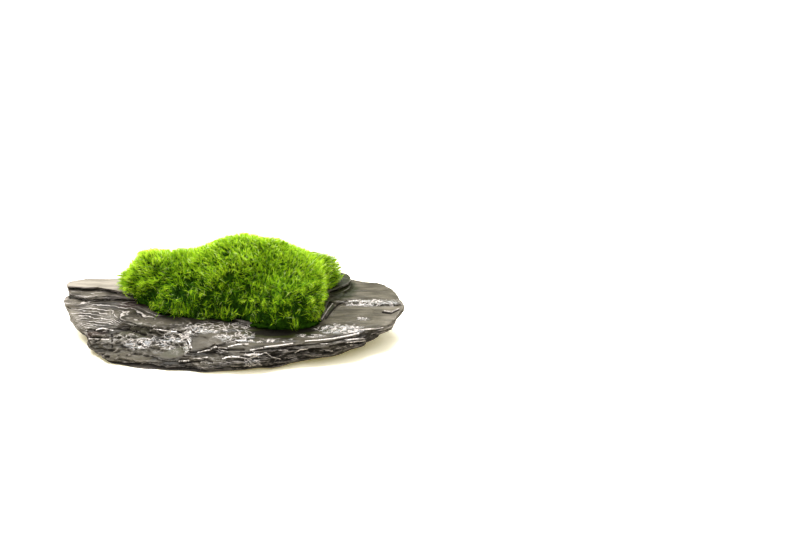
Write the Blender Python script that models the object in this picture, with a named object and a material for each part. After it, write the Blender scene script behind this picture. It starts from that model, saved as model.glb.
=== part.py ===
"""Marimo on stone: a cushion of ball algae grown over a slab of layered slate, at its real size.

The frame is +Z up, with +X to the right and +Y to the back, and its origin under the middle of the slab.
Outlines and heights below are in millimetres, and the meshes are made in metres.
"""

import bmesh
import bpy
import numpy as np
from mathutils import Vector, noise

MM = 0.001

# The slate splits along bedding surfaces. A bedding surface at level w stands w * (1 + DIP * y) over
# the ground, so the leaves fan out from a flat foot and the slab's top leans towards the front.
DIP = 0.0079
SLAB_POINTS_PER_SPAN = 5  # points along an outline between two that are given
PLATE_POINTS_PER_SPAN = 4

# The main slab's leaves: the top level of each, and the share of its thickness that slopes to the next.
# Low down the slab is broken across its leaves, and higher up the leaves are thin and step clearly.
MAIN_LEAVES = [
    (2.2, 0.75), (3.9, 0.7), (5.4, 0.65), (6.8, 0.55), (7.9, 0.45),
    (8.7, 0.35), (9.4, 0.3), (10.0, 0.3), (10.5, 0.3), (11.0, 0.3),
]

# Outlines of the main slab at a few levels, anticlockwise from the right tip. Point n of one outline
# is the same place on the slab as point n of the next.
FOOT_LEVEL = 0.8
FOOT_OUTLINE = [
    (48, 0), (49, 7), (47, 14), (41, 20.5), (31, 26), (13, 28), (-10, 27),
    (-29, 24), (-46, 19), (-52, 12), (-54, 3), (-52.5, -7), (-48.5, -18.5), (-39.5, -24.8),
    (-24.5, -28.7), (-11, -31), (0, -29), (12, -27), (25, -21.5), (30.5, -19.5), (40, -14.5), (47.5, -8),
]
LOWER_LEVEL = 3.0
LOWER_OUTLINE = [
    (53, 0), (54, 8), (51, 16), (44, 23), (33, 28.5), (14, 31), (-10, 30),
    (-31, 27), (-49, 22), (-56, 15), (-58, 6), (-55.5, -4), (-50.5, -15), (-39.5, -21),
    (-25, -25), (-10, -29), (2, -29), (14, -27.5), (27, -23), (32.5, -22.5), (42, -17), (50.5, -8),
]
MIDDLE_LEVEL = 6.0
MIDDLE_OUTLINE = [
    (60.5, 1), (61, 9), (56, 18), (47, 25.5), (35, 31), (15, 34), (-10, 33),
    (-33, 30), (-53, 24), (-60, 17), (-62, 9), (-59.5, 1), (-52, -8), (-38, -11.5),
    (-24, -17), (-10, -25), (2, -29), (14, -28.5), (27.5, -23.5), (33.5, -24), (46, -18.5), (55.5, -8),
]
UPPER_LEVEL = 9.0
UPPER_OUTLINE = [
    (64, 3), (64, 11), (58.5, 21), (49, 27.5), (36, 33), (15, 36), (-10, 35),
    (-34, 32), (-55, 26), (-64, 20), (-65.5, 11.5), (-61.5, 5.5), (-47, 2), (-33, -3),
    (-21, -10), (-9, -19), (2, -26), (14, -28), (28, -23.5), (34, -23), (48.5, -17), (58.5, -8.5),
]
TOP_LEVEL = 11.0
TOP_OUTLINE = [
    (64.8, 5), (63.8, 13), (60, 23), (50, 28.5), (36, 34), (15, 37), (-10, 36),
    (-34, 32.5), (-55, 26), (-64, 21), (-66.5, 14), (-62, 11.5), (-48, 11), (-33, 8),
    (-21, 0), (-10, -8), (1, -18), (13, -26.5), (28, -22.5), (34.5, -21), (48.5, -15.5), (58.5, -7),
]
FOOT_INSET = 0.94  # the flat foot against the outline just above it
FOOT_EDGE = 0.25

# Plates on the main slab and thin leaves that stand out of it. Each has its outline, the number of its
# first leaf in the fracture pattern, and its leaves from the lowest up: the levels of a leaf's underside
# and top, and how far its front edge is set back. The lowest leaf starts inside what it stands on.
CAP_PLATE = (
    [
        (44, 20), (45, 25), (41.5, 29.5), (30, 33.5), (12, 36), (-10, 35), (-32, 31.5),
        (-46, 24), (-58.5, 23.5), (-63.5, 21.4), (-64.3, 17), (-61.5, 13.7), (-47.6, 12.9), (-32, 11),
        (-15, 5), (0, 1), (12, -3), (25, 2), (34, 10), (38, 14),
    ],
    20,
    [(10.3, 11.6, 0.9), (11.75, 12.6, 0.0)],
)
CAP_TOP = (
    [
        (43, 20.5), (44, 25), (40.5, 29), (30, 33), (12, 35.5), (-10, 34.5), (-32, 31),
        (-46, 25.5), (-58.5, 24.5), (-63.5, 22.4), (-64.6, 19.2), (-60.5, 17.5), (-52, 16.3), (-43, 13),
        (-32, 11.6), (-15, 5.6), (0, 1.6), (12, -2.4), (25, 2.6), (33.5, 10.4), (37.3, 14.4),
    ],
    22,
    [(12.3, 13.3, 1.6), (13.4, 14.0, 0.0)],
)
SEAT_LEAF = (
    [
        (41.5, 16), (38, 26), (22, 31), (0, 31), (-20, 26), (-36, 16), (-28, 7),
        (-12, 0), (2, -5), (14, -10.5), (26, -9.5), (34, -5), (35, 2), (36, 8), (38, 12.5),
    ],
    31,
    [(10.3, 12.1, 0.0)],
)
RIDGE_LEAF = (
    [(63.8, 8), (62.8, 14), (59, 22.5), (49, 27.8), (39, 31.5), (32, 24), (33, 12), (42, 9.5), (53, 9)],
    42,
    [(10.3, 11.7, 0.0)],
)
WEDGE_LEAF = (
    [
        (-15, -8), (-16, 0), (-24, 6), (-38, 8), (-46, 5), (-42, -0.5), (-36, -5), (-30, -8.6),
        (-24, -10.4), (-18, -11.3),
    ],
    53,
    [(8.3, 9.9, 0.0)],
)
PLATES = {
    "cap_plate": CAP_PLATE,
    "cap_top": CAP_TOP,
    "seat_leaf": SEAT_LEAF,
    "ridge_leaf": RIDGE_LEAF,
    "wedge_leaf": WEDGE_LEAF,
}
PLATES_UNDER_CUSHION = ["cap_plate", "cap_top", "seat_leaf", "ridge_leaf"]

# How far fractures push an outline in and out, and their spacing: in bands that run through several
# leaves, leaf by leaf, and as the wander of a leaf's edge up and down the slope of the slab's side.
FRACTURE_DEPTH = 1.9
FRACTURE_SPACING = 10.0
FRACTURE_LEAF_RISE = 0.16  # how far the bands' pattern moves from one leaf to the next
LEAF_DEPTH = 1.0
LEAF_SPACING = 6.5
LEAF_SHIFT = 3.7  # moves a leaf's own pattern clear of the next one's
WANDER = 1.5
WANDER_SPACING = 17.0

# The open top of the slab is gently uneven, in streaks along its length. Its mesh has rings that close
# in on a line along the slab, each a share of the way there.
TOP_RINGS = [0.12, 0.3, 0.5, 0.75]
TOP_LINE_Y = 20.0
TOP_LINE_HALF = 0.72  # the line's length against the slab's
TOP_RELIEF = 0.55
TOP_SPACING = (13.0, 7.0)
RELIEF_FADE = (1.15, 1.6)  # how far outside the cushion the relief starts and is full

# The marimo: rounded lobes that blend into one cushion, each with its centre and its half-widths.
LOBES = [
    ((4, 12.5, 13), (25.5, 18, 25.2)),
    ((21.6, 11.4, 12.6), (12.5, 20.8, 18.1)),
    ((-20.6, 18, 12.7), (19, 12.6, 17)),
    ((-31.5, 17.3, 18.8), (12.4, 8.1, 10.3)),
    ((29.7, 20.1, 18.6), (10.4, 5.7, 7.1)),
    ((20.3, -1.3, 13.1), (14.1, 13.1, 12.5)),
    ((-15.7, 6.6, 11), (15, 9.9, 11.5)),
]
HALF_HEIGHT_BELOW = 7.0  # a lobe's half-height under its centre, where it sinks into the slate
LOBE_BLEND = 0.16  # share of a lobe's size over which two lobes run together
CUSHION_CENTRE = (2, 11, 15)
CUSHION_REACH = 80.0
CUSHION_MERIDIANS = 58
CUSHION_RINGS = 32
TUFT_HEIGHT = 0.9
TUFT_SPACING = 7.0
SEAT_GAP = 0.3
FOOTPRINT_HEIGHT = 13.0  # where the cushion is widest, just over its seat

SLATE_COLOUR = (0.075, 0.069, 0.058, 1)
MARIMO_COLOUR = (0.14, 0.30, 0.015, 1)


def clear_scene():
    for obj in list(bpy.data.objects):
        bpy.data.objects.remove(obj, do_unlink=True)


def plain_material(name, colour, roughness):
    material = bpy.data.materials.new(name)
    material.use_nodes = True
    surface = material.node_tree.nodes["Principled BSDF"]
    surface.inputs["Base Color"].default_value = colour
    surface.inputs["Roughness"].default_value = roughness
    surface.inputs["Metallic"].default_value = 0.0
    material.diffuse_color = colour
    return material


def new_object(name, bm):
    mesh = bpy.data.meshes.new(name)
    bmesh.ops.recalc_face_normals(bm, faces=bm.faces)
    bm.to_mesh(mesh)
    bm.free()
    obj = bpy.data.objects.new(name, mesh)
    bpy.context.scene.collection.objects.link(obj)
    return obj


def make_helper(obj):
    """A shape that only cuts or joins others, and isn't part of the object."""
    obj.hide_render = True
    obj.display_type = "WIRE"
    return obj


def combine(obj, operation, helpers):
    """Joins the helpers to the object or cuts them out of it, one after another."""
    for helper in helpers:
        step = obj.modifiers.new(helper.name, "BOOLEAN")
        step.operation = operation
        step.solver = "EXACT"
        step.object = helper
    graph = bpy.context.evaluated_depsgraph_get()
    made = bpy.data.meshes.new_from_object(obj.evaluated_get(graph))
    obj.modifiers.clear()
    obj.data = made


def finish(obj, material):
    obj.data.materials.clear()
    obj.data.materials.append(material)


def smooth_step(low, high, value):
    share = np.clip((value - low) / (high - low), 0, 1)
    return share * share * (3 - 2 * share)


def closed_curve(outline, per_span):
    """Points along a smooth closed curve through the outline's points."""
    points = np.array(outline, float)
    before, after, beyond = (np.roll(points, shift, axis=0) for shift in (1, -1, -2))
    share = (np.arange(per_span) / per_span)[None, :, None]
    a, b, c, d = (p[:, None, :] for p in (before, points, after, beyond))
    curve = b + 0.5 * share * (
        c - a + share * (2 * a - 5 * b + 4 * c - d + share * (3 * (b - c) + d - a))
    )
    return curve.reshape(-1, 2)


def outward(curve):
    """The direction out of an anticlockwise closed curve at each of its points."""
    along = np.roll(curve, -1, axis=0) - np.roll(curve, 1, axis=0)
    along /= np.linalg.norm(along, axis=1)[:, None]
    return np.stack([along[:, 1], -along[:, 0]], axis=1)


def fracture_noise(curve, spacing, leaf, shift):
    """Smooth noise along a leaf's edge; a small shift keeps it alike from one leaf to the next."""
    return np.array([noise.noise(Vector((x / spacing, y / spacing, leaf * shift))) for x, y in curve])


def fracture_push(curve, leaf):
    """How far one leaf's edge is broken in or out: long fractures run through it and its neighbours."""
    band = fracture_noise(curve, FRACTURE_SPACING, leaf, FRACTURE_LEAF_RISE)
    own = fracture_noise(curve, LEAF_SPACING, leaf, LEAF_SHIFT)
    return FRACTURE_DEPTH * band + LEAF_DEPTH * own


def pushed(curve, push):
    return curve + outward(curve) * push[:, None]


def add_ring(bm, curve, level):
    return [bm.verts.new((x * MM, y * MM, level * (1 + DIP * y) * MM)) for x, y in curve]


def stack_of_rings(name, rings):
    """One closed body from (level, curve) rings, lowest first."""
    bm = bmesh.new()
    made = [add_ring(bm, curve, level) for level, curve in rings]
    for lower, upper in zip(made, made[1:]):
        for i in range(len(lower)):
            j = (i + 1) % len(lower)
            bm.faces.new((lower[i], lower[j], upper[j], upper[i]))
    bm.faces.new(reversed(made[0]))
    bm.faces.new(made[-1])
    return new_object(name, bm)


def slab_curve(keys, level, leaf):
    """The edge of the main slab at a level, where it wanders up and down between the keyed outlines."""
    levels = np.array([key_level for key_level, _ in keys])
    curves = np.array([closed_curve(outline, SLAB_POINTS_PER_SPAN) for _, outline in keys])
    middle = curves[len(keys) // 2]
    wander = WANDER * fracture_noise(middle, WANDER_SPACING, leaf, LEAF_SHIFT)
    at = np.clip(level + wander, levels[0], levels[-1])
    curve = np.empty_like(middle)
    for axis in (0, 1):
        curve[:, axis] = [np.interp(a, levels, curves[:, i, axis]) for i, a in enumerate(at)]
    return curve


def make_main_slab():
    keys = [
        (FOOT_LEVEL, FOOT_OUTLINE),
        (LOWER_LEVEL, LOWER_OUTLINE),
        (MIDDLE_LEVEL, MIDDLE_OUTLINE),
        (UPPER_LEVEL, UPPER_OUTLINE),
        (TOP_LEVEL, TOP_OUTLINE),
    ]
    foot = closed_curve(FOOT_OUTLINE, SLAB_POINTS_PER_SPAN)
    foot = pushed(foot, fracture_push(foot, 0))
    rings = [(0.0, foot * FOOT_INSET), (FOOT_EDGE, foot * FOOT_INSET)]
    low = FOOT_LEVEL
    for leaf, (high, slope_share) in enumerate(MAIN_LEAVES):
        slope = slope_share * (high - low) / 2
        curve = slab_curve(keys, (low + high) / 2, leaf)
        curve = pushed(curve, fracture_push(curve, leaf))
        rings += [(low + slope, curve), (high - slope if high < TOP_LEVEL else high, curve)]
        low = high
    edge = rings[-1][1]
    line = np.stack([edge[:, 0] * TOP_LINE_HALF, np.full(len(edge), TOP_LINE_Y)], axis=1)
    rings += [(TOP_LEVEL, edge + (line - edge) * share) for share in TOP_RINGS]
    return stack_of_rings("slate", rings)


def plate_pushes(curve, first_leaf, leaves):
    """How far out the edge of each of a plate's leaves is pushed: its front edge may be set back."""
    front = np.clip(-outward(curve)[:, 1], 0, 1)
    return [fracture_push(curve, first_leaf + n) - inset * front for n, (_, _, inset) in enumerate(leaves)]


def make_plate(name, outline, first_leaf, leaves):
    curve = closed_curve(outline, PLATE_POINTS_PER_SPAN)
    rings = []
    for (low, high, _), push in zip(leaves, plate_pushes(curve, first_leaf, leaves)):
        edge = pushed(curve, push)
        rings += [(low, edge), (high, edge)]
    return make_helper(stack_of_rings(name, rings))


def make_plate_room(name, outline, first_leaf, leaves):
    """A little more than the room that the plate takes, as one block with its widest edge all round."""
    curve = closed_curve(outline, PLATE_POINTS_PER_SPAN)
    edge = pushed(curve, np.max(plate_pushes(curve, first_leaf, leaves), axis=0) + SEAT_GAP)
    rings = [(leaves[0][0] - SEAT_GAP, edge), (leaves[-1][1] + SEAT_GAP, edge)]
    return make_helper(stack_of_rings("room_for_" + name, rings))


def cushion_field(points):
    """Below 1 inside the cushion and above 1 outside it, for an array of points in millimetres."""
    total = np.zeros(len(points))
    for centre, half in LOBES:
        offset = points - np.array(centre, float)
        widths = np.tile(np.array(half, float), (len(points), 1))
        widths[offset[:, 2] < 0, 2] = HALF_HEIGHT_BELOW
        reach = np.linalg.norm(offset / widths, axis=1)
        total += np.exp(-(reach - 1) / LOBE_BLEND)
    return 1 - LOBE_BLEND * np.log(total)


def add_top_relief(slate):
    """Makes the slab's open top gently uneven, but not its plates nor the seat of the cushion."""
    points = np.array([v.co for v in slate.data.vertices]) / MM
    level = points[:, 2] / (1 + DIP * points[:, 1])
    beside = points.copy()
    beside[:, 2] = FOOTPRINT_HEIGHT
    amount = smooth_step(*RELIEF_FADE, cushion_field(beside))
    amount *= smooth_step(UPPER_LEVEL, TOP_LEVEL, level) * (level < TOP_LEVEL + SEAT_GAP)
    for vert, (x, y, _), share in zip(slate.data.vertices, points, amount):
        streak = noise.noise(Vector((x / TOP_SPACING[0], y / TOP_SPACING[1], 0)))
        vert.co.z += TOP_RELIEF * share * streak * MM


def make_slate():
    slate = make_main_slab()
    combine(slate, "UNION", [make_plate(name, *plate) for name, plate in PLATES.items()])
    add_top_relief(slate)
    finish(slate, plain_material("wet_slate", SLATE_COLOUR, 0.3))
    return slate


def cushion_surface(directions):
    """Where rays from the cushion's centre leave it, in millimetres."""
    centre = np.array(CUSHION_CENTRE, float)
    near, far = np.zeros(len(directions)), np.full(len(directions), CUSHION_REACH)
    for _ in range(40):
        middle = (near + far) / 2
        inside = cushion_field(centre + directions * middle[:, None]) < 1
        near, far = np.where(inside, middle, near), np.where(inside, far, middle)
    points = centre + directions * near[:, None]
    tufts = np.array([noise.noise(Vector(p) / TUFT_SPACING) for p in points])
    return points + directions * (TUFT_HEIGHT * tufts)[:, None]


def make_seat_room():
    """The room that the slate needs under the cushion: its flat top and the plates that stand on it."""
    corners = [(x * CUSHION_REACH, y * CUSHION_REACH) for x, y in ((1, -1), (1, 1), (-1, 1), (-1, -1))]
    room = stack_of_rings("seat_room", [(-TOP_LEVEL, corners), (TOP_LEVEL + SEAT_GAP, corners)])
    combine(room, "UNION", [make_plate_room(name, *PLATES[name]) for name in PLATES_UNDER_CUSHION])
    return make_helper(room)


def make_marimo():
    bm = bmesh.new()
    bmesh.ops.create_uvsphere(bm, u_segments=CUSHION_MERIDIANS, v_segments=CUSHION_RINGS, radius=1.0)
    directions = np.array([v.co.normalized() for v in bm.verts])
    for vert, point in zip(bm.verts, cushion_surface(directions)):
        vert.co = Vector(point) * MM
    marimo = new_object("marimo", bm)
    combine(marimo, "DIFFERENCE", [make_seat_room()])
    finish(marimo, plain_material("marimo", MARIMO_COLOUR, 0.75))
    marimo.data.shade_smooth()
    return marimo


def centre_over_origin(objects):
    """Moves the meshes so that the slab stands on z = 0 with the object's box centred over the origin."""
    corners = np.array([v.co for obj in objects for v in obj.data.vertices])
    low, high = corners.min(axis=0), corners.max(axis=0)
    shift = Vector((-(low[0] + high[0]) / 2, -(low[1] + high[1]) / 2, -low[2]))
    for obj in objects:
        for vert in obj.data.vertices:
            vert.co += shift


def main():
    clear_scene()
    slate = make_slate()
    marimo = make_marimo()
    centre_over_origin([slate, marimo])


main()
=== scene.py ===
"""Marimo on stone: ball algae grown over a slab of wet slate, dressed over its solids.

Lengths are in millimetres until a mesh is made, in the frame of the solids: +X right, +Y back, +Z up.
"""

import math
from types import SimpleNamespace

import bpy
import numpy as np
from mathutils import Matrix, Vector, kdtree, noise


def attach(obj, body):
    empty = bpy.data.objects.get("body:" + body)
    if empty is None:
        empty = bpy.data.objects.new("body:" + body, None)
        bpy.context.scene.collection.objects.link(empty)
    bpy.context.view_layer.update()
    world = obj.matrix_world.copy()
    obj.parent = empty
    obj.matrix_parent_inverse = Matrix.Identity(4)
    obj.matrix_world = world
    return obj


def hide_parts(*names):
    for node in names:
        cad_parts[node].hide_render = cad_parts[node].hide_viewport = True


MM = 0.001
AXIS_SEEDS = (0.0, 31.7, 63.1)  # set the noise of each axis apart

# The slate splits along bedding surfaces: level w stands w * (1 + DIP * (y - DIP_START)) over the ground.
DIP = 0.0079
DIP_START = -3.55
TOP_LEVEL = 11.0  # of the slab's flat top
CAP_LEVEL = 13.5  # just under the top of the plate at the left end
LOWER_CAP_LEVEL = 12.2  # just under the top of the plate's lower leaf

# The slab's skin.
SKIN_SPACING = 0.34
SKIN_TRIANGLES = 190000
FOOT_HEIGHT = 0.35
LEAST_HEIGHT = 0.05  # of the skin above the foot
SHARP_DEGREES = 38
ROUNDING_TIMES = 44
HIGH_STEP = 1.5
LOW_STEP = 0.8
FLAKE_STEP = 0.24
STEP_RISER = 0.3
THICK_LEAF = 1.1
THIN_LEAF = 0.5

# The marimo.
FOOTPRINT_MIDDLE = (1.0, 8.5)
FOOTPRINT_HALF = (40.0, 20.0)
SEAT_LEVEL = 13.5  # under it the marimo's underside rests on the slab
CORE_DEPTH = 2.2  # how far the dark core lies under the tips
RANDOM_SEED = 11
SCATTERED_PLACES = 110000
CLUMP_SPACING = 0.36
TUFT_SPACING = 4.6
FIBRES_PER_CLUMP = 3
FIBRE_LENGTH = 4.2
FIBRE_WIDTH = 0.115
FIBRE_SIDES = 3
FIBRE_TRIANGLES = 10
RING_PLACE = 0.58  # where along a fibre its middle ring stands
PIECE_TRIANGLES = 190000
MOSS_TOP = 38.1  # the height of the solid's top
MOSS_OVER = 0.75  # how far the longest hairs may stand above it


def smooth_step(low, high, value):
    share = np.clip((value - low) / (high - low), 0, 1)
    return share * share * (3 - 2 * share)


def waves(points, spacing, seed=0.0):
    """Smooth noise between about -1 and 1; the spacing is given along x, y and z."""
    placed = points / np.array(spacing, float) + seed
    return np.array([noise.noise(p) for p in placed.tolist()])


def wave_vectors(points, spacing, seed=0.0):
    """Smooth noise of its own along each of the three axes."""
    return np.stack([waves(points, (spacing,) * 3, seed + shift) for shift in AXIS_SEEDS], axis=1)


def unit(vectors):
    return vectors / np.maximum(np.linalg.norm(vectors, axis=1), 1e-9)[:, None]


def rise_at(y):
    """How many times its level the bedding stands over the ground at this depth."""
    return 1 + DIP * (y - DIP_START)


def level_of(points):
    return points[:, 2] / rise_at(points[:, 1])


def vertex_array(mesh):
    flat = np.empty(len(mesh.vertices) * 3, np.float32)
    mesh.vertices.foreach_get("co", flat)
    return flat.reshape(-1, 3).astype(float) / MM


def set_vertices(mesh, points):
    mesh.vertices.foreach_set("co", (points * MM).astype(np.float32).ravel())
    mesh.update()


def edge_array(mesh):
    flat = np.empty(len(mesh.edges) * 2, np.int32)
    mesh.edges.foreach_get("vertices", flat)
    return flat.reshape(-1, 2)


def triangle_array(mesh):
    mesh.calc_loop_triangles()
    flat = np.empty(len(mesh.loop_triangles) * 3, np.int32)
    mesh.loop_triangles.foreach_get("vertices", flat)
    return flat.reshape(-1, 3)


def normals_of(points, triangles):
    a, b, c = (points[triangles[:, i]] for i in range(3))
    faces = np.cross(b - a, c - a)
    total = np.zeros_like(points)
    for axis in range(3):
        for corner in range(3):
            total[:, axis] += np.bincount(triangles[:, corner], faces[:, axis], len(points))
    return unit(total)


def softened(points, edges, amount, times):
    """The points drawn towards the middle of their neighbours, again and again."""
    first, second = edges.T
    count = np.bincount(edges.ravel(), minlength=len(points))
    points = points.copy()
    for _ in range(times):
        for axis in range(3):
            total = np.bincount(first, points[second, axis], len(points))
            total += np.bincount(second, points[first, axis], len(points))
            points[:, axis] += amount * (total / count - points[:, axis])
    return points


def mesh_of(name, points, faces_by_size):
    """A mesh from points in millimetres and arrays of faces, each array with one number of corners."""
    mesh = bpy.data.meshes.new(name)
    mesh.vertices.add(len(points))
    mesh.vertices.foreach_set("co", (points * MM).astype(np.float32).ravel())
    corners = np.concatenate([faces.ravel() for faces in faces_by_size])
    sizes = np.concatenate([np.full(len(faces), faces.shape[1]) for faces in faces_by_size])
    mesh.loops.add(len(corners))
    mesh.loops.foreach_set("vertex_index", corners.astype(np.int32))
    mesh.polygons.add(len(sizes))
    mesh.polygons.foreach_set("loop_start", (np.cumsum(sizes) - sizes).astype(np.int32))
    mesh.update(calc_edges=True)
    mesh.shade_smooth()
    return mesh


def add_piece(name, mesh, material, node):
    mesh.materials.clear()
    mesh.materials.append(material)
    piece = bpy.data.objects.new(name, mesh)
    bpy.context.scene.collection.objects.link(piece)
    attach(piece, "root")
    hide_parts(node)


def modified_mesh(mesh, set_up):
    """The mesh after the modifiers that set_up puts on an object that holds it."""
    holder = bpy.data.objects.new("holder", mesh)
    bpy.context.scene.collection.objects.link(holder)
    set_up(holder)
    graph = bpy.context.evaluated_depsgraph_get()
    made = bpy.data.meshes.new_from_object(holder.evaluated_get(graph))
    bpy.data.objects.remove(holder)
    return made


# Nodes.


class Nodes:
    """Adds nodes to one tree, with their inputs set or linked in the same line."""

    def __init__(self, tree):
        self.tree = tree

    def set_input(self, socket, value):
        if isinstance(value, bpy.types.NodeSocket):
            self.tree.links.new(value, socket)
        else:
            socket.default_value = value

    def add(self, kind, inputs=None, **settings):
        node = self.tree.nodes.new(kind)
        for name, value in settings.items():
            setattr(node, name, value)
        for name, value in (inputs or {}).items():
            self.set_input(node.inputs[name], value)
        return node

    def math(self, operation, first, second=0.0):
        return self.add("ShaderNodeMath", {0: first, 1: second}, operation=operation).outputs[0]

    def joined(self, operation, values):
        result = values[0]
        for value in values[1:]:
            result = self.math(operation, result, value)
        return result

    def product(self, *values):
        return self.joined("MULTIPLY", values)

    def total(self, *values):
        return self.joined("ADD", values)

    def largest(self, *values):
        return self.joined("MAXIMUM", values)

    def between(self, value, low, high, to_low=0.0, to_high=1.0):
        inputs = {"Value": value, "From Min": low, "From Max": high, "To Min": to_low, "To Max": to_high}
        return self.add("ShaderNodeMapRange", inputs, interpolation_type="SMOOTHSTEP").outputs[0]

    def mix(self, share, first, second):
        """One colour laid over another by a share. The numbers are the colour sockets' places."""
        return self.add("ShaderNodeMix", {0: share, 6: first, 7: second}, data_type="RGBA").outputs[2]

    def mask(self, name):
        return self.add("ShaderNodeAttribute", attribute_name=name).outputs["Fac"]


def new_group(name, inputs, outputs):
    """A node group with float inputs (name: default) and float outputs, and its nodes."""
    group = bpy.data.node_groups.new(name, "ShaderNodeTree")
    for socket, default in inputs.items():
        made = group.interface.new_socket(socket, in_out="INPUT", socket_type="NodeSocketFloat")
        made.default_value = default
    for socket in outputs:
        group.interface.new_socket(socket, in_out="OUTPUT", socket_type="NodeSocketFloat")
    nodes = Nodes(group)
    return group, nodes, nodes.add("NodeGroupInput"), nodes.add("NodeGroupOutput")


def place_group(nodes, group, **values):
    """Places a group with its input values, and gives its output, or all of them where it has several."""
    inputs = {name.replace("_", " "): value for name, value in values.items()}
    node = nodes.add("ShaderNodeGroup", inputs, node_tree=group)
    return node.outputs[0] if len(node.outputs) == 1 else node.outputs


def new_material(name, **constants):
    """A material with one Principled shader, whose constants are set on its own sockets."""
    material = bpy.data.materials.new(name)
    material.use_nodes = True
    shader = material.node_tree.nodes["Principled BSDF"]
    for socket, value in constants.items():
        shader.inputs[socket.replace("_", " ")].default_value = value
    return material, Nodes(material.node_tree), shader


def speckle_group():
    """Noise at a spacing in millimetres, stretched along X and Y by two numbers."""
    group, nodes, given, result = new_group(
        "speckle", {"Spacing": 1.0, "Along X": 1.0, "Along Y": 1.0, "Detail": 3.0, "Seed": 0.0}, ["Value"]
    )
    place = nodes.add("ShaderNodeTexCoord").outputs["Object"]
    apart = nodes.add("ShaderNodeSeparateXYZ", {0: place})
    scale = nodes.math("DIVIDE", 1 / MM, given.outputs["Spacing"])
    x = nodes.math("DIVIDE", nodes.product(apart.outputs[0], scale), given.outputs["Along X"])
    y = nodes.math("DIVIDE", nodes.product(apart.outputs[1], scale), given.outputs["Along Y"])
    z = nodes.product(apart.outputs[2], scale)
    together = nodes.add("ShaderNodeCombineXYZ", {0: x, 1: y, 2: z}).outputs[0]
    texture = nodes.add(
        "ShaderNodeTexNoise",
        {"Vector": together, "Scale": 1.0, "Detail": given.outputs["Detail"], "W": given.outputs["Seed"]},
        noise_dimensions="4D",
    )
    nodes.set_input(result.inputs["Value"], texture.outputs["Fac"])
    return group


def laminae_group(speckle):
    """The slate's thin laminae: how far they stand out, the dark lines between them, which are painted as
    shade, and their bright edges, which are painted as highlights.
    """
    group, nodes, given, result = new_group(
        "laminae", {"Thickness": 0.9, "Wander": 1.0, "Seed": 0.0}, ["Height", "Gap", "Edge"]
    )
    place = nodes.add("ShaderNodeTexCoord").outputs["Object"]
    apart = nodes.add("ShaderNodeSeparateXYZ", {0: place})
    rise = nodes.total(nodes.product(apart.outputs[1], DIP / MM), 1 - DIP * DIP_START)
    level = nodes.math("DIVIDE", nodes.math("DIVIDE", apart.outputs[2], MM), rise)

    seed = given.outputs["Seed"]
    slow = place_group(nodes, speckle, Spacing=8.0, Along_X=3.0, Along_Y=2.0, Detail=1.0, Seed=seed)
    quick = place_group(nodes, speckle, Spacing=1.8, Along_X=1.5, Detail=2.0, Seed=seed)
    wander = nodes.total(slow, nodes.product(quick, 0.35))
    level = nodes.total(level, nodes.product(wander, given.outputs["Wander"]))
    leaf = nodes.math("DIVIDE", level, given.outputs["Thickness"])

    own_seed = nodes.product(nodes.math("FLOOR", leaf), 7.3)
    shade = place_group(nodes, speckle, Spacing=4.0, Along_X=2.5, Detail=2.0, Seed=own_seed)
    shade = nodes.between(shade, 0.35, 0.62)
    share = nodes.math("FRACT", leaf)
    lip = nodes.product(nodes.between(share, 0.0, 0.16), nodes.between(share, 0.3, 1.0, 1.0, 0.0))
    height = nodes.product(lip, nodes.total(nodes.product(shade, 0.75), 0.25))
    gap = nodes.product(nodes.between(share, 0.12, 0.2, 1.0, 0.0), nodes.between(share, 0.0, 0.04), shade)
    edge = nodes.product(nodes.between(share, 0.16, 0.24), nodes.between(share, 0.34, 0.5, 1.0, 0.0), shade)
    for name, value in (("Height", height), ("Gap", gap), ("Edge", edge)):
        nodes.set_input(result.inputs[name], value)
    return group


# The slate.

# Patches of the slab in plan, each with its middle and its half-widths.
CALM_PATCHES = [
    ((-6.0, -22.0), (10.5, 4.2)),
    ((-19.0, -24.5), (6.0, 2.6)),
    ((-27.0, -5.0), (13.0, 4.5)),
]
ROUGH_PATCHES = [((-35.0, -17.0), (21.0, 10.0)), ((-20.0, -19.0), (8.0, 5.0))]
# Crumpled patches, whose crests are painted as glints.
BEADED_PATCHES = [
    ((-33.0, -16.0), (6.5, 4.0)),
    ((-21.5, -17.5), (6.0, 3.5)),
    ((-14.8, -21.0), (1.8, 5.0)),
    ((-5.0, -13.5), (14.0, 4.5)),
    ((3.0, -20.5), (7.0, 4.0)),
    ((41.0, -15.0), (8.5, 4.0)),
    ((53.0, 6.3), (13.0, 2.5)),
    ((14.0, -24.4), (12.0, 1.6)),
    ((31.0, -20.5), (6.0, 1.4)),
    ((50.0, -7.0), (3.0, 1.4)),
    ((10.0, -33.0), (3.0, 2.5)),
]
BANDED_PATCHES = [((-50.0, 4.5), (20.0, 11.0)), ((-40.0, 1.0), (16.0, 7.0))]
# Patches painted near black as the shadow under the marimo's right lobe.
LOBE_SHADOW_PATCHES = [((17.0, -18.3), (9.0, 2.6)), ((28.5, -15.5), (5.5, 2.6))]
# Patches beside and under the marimo, painted dark green as its shade on the slab.
MOSS_SHADE_PATCHES = [((41.0, 17.0), (6.5, 9.0)), ((36.0, 4.0), (3.0, 5.0)), ((20.0, -17.5), (13.5, 5.0))]
RUST_PATCHES = [((-51.0, -9.6), (5.0, 2.6)), ((-36.0, 6.5), (8.0, 2.0)), ((-64.8, 15.0), (1.6, 7.0))]
OLIVE_PATCHES = [((-18.5, -24.0), (5.5, 2.4)), ((-36.0, -11.0), (6.0, 3.5)), ((38.0, -17.5), (9.0, 2.0))]

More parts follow.
